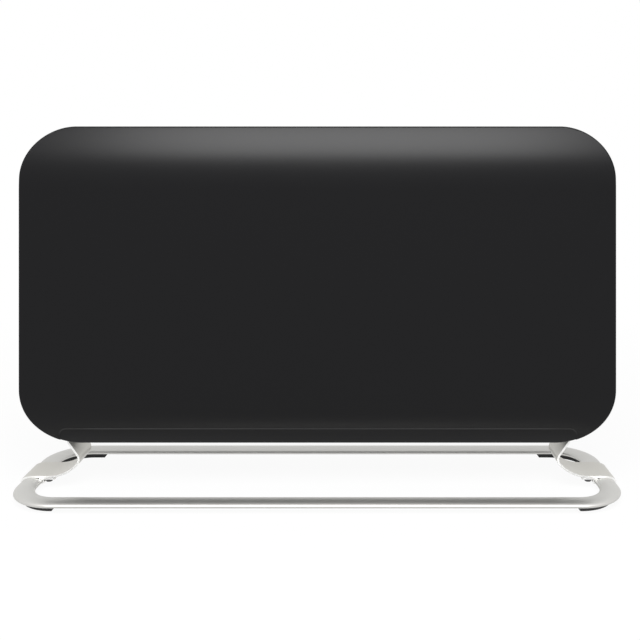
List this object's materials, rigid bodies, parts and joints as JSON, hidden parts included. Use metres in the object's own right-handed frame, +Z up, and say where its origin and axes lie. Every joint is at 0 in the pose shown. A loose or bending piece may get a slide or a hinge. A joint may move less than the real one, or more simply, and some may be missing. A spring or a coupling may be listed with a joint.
{
  "type": "convector heater",
  "caption": "Slim black convector heater: two pressed steel shells with rounded corners and leaning edges, on an oval silver tube ring with ribbon brackets.",
  "frame": {"origin": "on the floor under the middle of the heater", "axes": "+Z up, +X to the right along the heater's length with the controls at the +X end, -Y towards the front"},
  "size_m": [0.715, 0.194, 0.435],
  "materials": {
    "shell_paint": "smooth satin black powder coat",
    "cap_plastic": "fine-grained black moulding",
    "grille_plastic": "fine-grained black moulding",
    "zinc_steel": "galvanised sheet",
    "liner_aluminium": "bare rolled sheet",
    "sheath_steel": "heat-darkened tube",
    "fin_aluminium": "bare stamped sheet",
    "ceramic": "unglazed ceramic",
    "plated_steel": "zinc plated",
    "phenolic": "dark phenolic moulding",
    "brass": "bare turned",
    "knob_plastic": "fine-grained black moulding",
    "switch_plastic": "black moulding",
    "rocker_plastic": "polished black moulding",
    "lamp_lens": "clear orange-red",
    "block_plastic": "off-white moulding",
    "stand_steel": "satin silver",
    "black_steel": "blackened steel",
    "pad_rubber": "matt black"
  },
  "bodies": {
    "heater": {"front_shell": "shell_paint", "rear_shell": "shell_paint", "end_cap_left": "cap_plastic", "end_cap_right": "cap_plastic", "outlet_grille": "grille_plastic", "inlet_grille": "grille_plastic", "end_frame_left": "zinc_steel", "end_frame_right": "zinc_steel", "upper_rails": "zinc_steel", "lower_rails": "zinc_steel", "front_liner": "liner_aluminium", "rear_liner": "liner_aluminium", "duct_end_left": "liner_aluminium", "duct_end_right": "liner_aluminium", "element_sheath": "sheath_steel", "element_fins": "fin_aluminium", "element_hangers": "liner_aluminium", "ceramic_bushes": "ceramic", "terminal_pins": "plated_steel", "overheat_cutout": "phenolic", "thermostat_body": "phenolic", "thermostat_nut": "plated_steel", "front_switch_body": "switch_plastic", "rear_switch_body": "switch_plastic", "pilot_lamp": "lamp_lens", "terminal_block": "block_plastic", "earth_screw": "brass", "cord_gland": "switch_plastic", "base_ring": "stand_steel", "bracket_left": "stand_steel", "bracket_right": "stand_steel", "ring_clip_left": "stand_steel", "ring_clip_right": "stand_steel", "ring_clip_nuts": "black_steel", "tongue_screws": "black_steel", "tongue_nuts": "plated_steel", "pad_front_left": "pad_rubber", "pad_front_right": "pad_rubber", "pad_rear_left": "pad_rubber", "pad_rear_right": "pad_rubber", "front_shell_nuts": "plated_steel", "rear_shell_screws": "black_steel", "end_cap_screws": "black_steel", "grille_screws": "black_steel"},
    "knob": {"thermostat_spindle": "brass", "thermostat_knob": "knob_plastic"},
    "front_switch": {"front_rocker": "rocker_plastic"},
    "rear_switch": {"rear_rocker": "rocker_plastic"}
  },
  "joints": [
    {"name": "thermostat_turn", "type": "hinge", "parent": "heater", "child": "knob", "pos_m": [0.341, 0, 0.225], "axis": [-1, 0, 0], "range_deg": [0, 270]},
    {"name": "front_switch_rock", "type": "hinge", "parent": "heater", "child": "front_switch", "pos_m": [0.337, -0.011, 0.161], "axis": [0, -1, 0], "range_deg": [0, 16]},
    {"name": "rear_switch_rock", "type": "hinge", "parent": "heater", "child": "rear_switch", "pos_m": [0.337, 0.011, 0.161], "axis": [0, -1, 0], "range_deg": [0, 16]}
  ]
}
